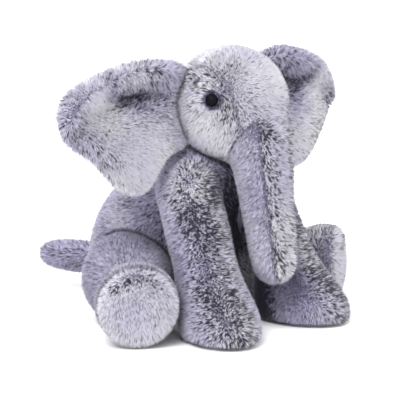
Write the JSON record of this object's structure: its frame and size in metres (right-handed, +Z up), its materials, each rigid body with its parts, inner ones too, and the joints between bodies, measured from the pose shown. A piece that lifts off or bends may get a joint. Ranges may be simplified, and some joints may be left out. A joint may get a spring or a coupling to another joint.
{
  "type": "stuffed elephant",
  "caption": "Long-pile plush elephant sitting with legs spread, large side ears, a trunk hanging to the feet and a stub tail; limbs, ears, trunk, neck and tail bend at sewn seams.",
  "frame": {"origin": "on the floor under the middle of the outline", "axes": "+Z up, the elephant faces -Y, +X towards its left side"},
  "size_m": [0.3982, 0.3687, 0.278],
  "materials": {
    "plush": "matte",
    "fibre_fill": "matte",
    "pouch_cloth": "matte",
    "pellets": "matte",
    "eye_button": "gloss",
    "washer": "matte"
  },
  "bodies": {
    "torso": {"torso_skin_left": "plush", "torso_skin_right": "plush", "belly_gusset": "plush", "torso_fill": "fibre_fill", "seat_pouch": "pouch_cloth", "seat_pellets": "pellets"},
    "head": {"head_skin_left": "plush", "head_skin_right": "plush", "head_gusset": "plush", "head_fill": "fibre_fill", "eye_left": "eye_button", "eye_right": "eye_button", "eye_washer_left": "washer", "eye_washer_right": "washer"},
    "trunk": {"trunk_front_panel": "plush", "trunk_under_panel": "plush", "trunk_fill": "fibre_fill"},
    "tail": {"tail_upper": "plush", "tail_lower": "plush", "tail_fill": "fibre_fill"},
    "ear_left": {"ear_left_front": "plush", "ear_left_back": "plush", "ear_left_fill": "fibre_fill"},
    "front_leg_left": {"front_leg_left_outer": "plush", "front_leg_left_inner": "plush", "front_leg_left_sole": "plush", "front_leg_left_fill": "fibre_fill"},
    "rear_leg_left": {"rear_leg_left_upper": "plush", "rear_leg_left_lower": "plush", "rear_leg_left_sole": "plush", "rear_leg_left_fill": "fibre_fill"},
    "ear_right": {"ear_right_front": "plush", "ear_right_back": "plush", "ear_right_fill": "fibre_fill"},
    "front_leg_right": {"front_leg_right_outer": "plush", "front_leg_right_inner": "plush", "front_leg_right_sole": "plush", "front_leg_right_fill": "fibre_fill"},
    "rear_leg_right": {"rear_leg_right_upper": "plush", "rear_leg_right_lower": "plush", "rear_leg_right_sole": "plush", "rear_leg_right_fill": "fibre_fill"}
  },
  "joints": [
    {"name": "neck_nod", "type": "hinge", "parent": "torso", "child": "head", "pos_m": [0, -0.0909, 0.221], "axis": [-1, 0, 0], "range_deg": [0, 20], "stiffness_Nm_per_rad": 1.5},
    {"name": "trunk_swing", "type": "hinge", "parent": "head", "child": "trunk", "pos_m": [0, -0.1319, 0.186], "axis": [-1, 0, 0], "range_deg": [0, 40], "stiffness_Nm_per_rad": 0.4},
    {"name": "tail_wag", "type": "hinge", "parent": "torso", "child": "tail", "pos_m": [0, 0.0791, 0.04], "axis": [0, 0, 1], "range_deg": [-25, 25], "stiffness_Nm_per_rad": 0.06},
    {"name": "ear_left_flap", "type": "hinge", "parent": "head", "child": "ear_left", "pos_m": [0.054, -0.0709, 0.218], "axis": [0, -0.1045, -0.9945], "range_deg": [-25, 20], "stiffness_Nm_per_rad": 0.12},
    {"name": "front_leg_left_swing", "type": "hinge", "parent": "torso", "child": "front_leg_left", "pos_m": [0.047, -0.0799, 0.138], "axis": [-0.8211, -0.5708, 0], "range_deg": [0, 25], "stiffness_Nm_per_rad": 1.5},
    {"name": "rear_leg_left_splay", "type": "hinge", "parent": "torso", "child": "rear_leg_left", "pos_m": [0.072, -0.0199, 0.046], "axis": [0, 0, 1], "range_deg": [0, 25], "stiffness_Nm_per_rad": 1.5},
    {"name": "ear_right_flap", "type": "hinge", "parent": "head", "child": "ear_right", "pos_m": [-0.054, -0.0709, 0.218], "axis": [0, 0.1045, 0.9945], "range_deg": [-25, 20], "stiffness_Nm_per_rad": 0.12},
    {"name": "front_leg_right_swing", "type": "hinge", "parent": "torso", "child": "front_leg_right", "pos_m": [-0.047, -0.0799, 0.138], "axis": [-0.8211, 0.5708, 0], "range_deg": [0, 25], "stiffness_Nm_per_rad": 1.5},
    {"name": "rear_leg_right_splay", "type": "hinge", "parent": "torso", "child": "rear_leg_right", "pos_m": [-0.072, -0.0199, 0.046], "axis": [0, 0, -1], "range_deg": [0, 25], "stiffness_Nm_per_rad": 1.5}
  ]
}
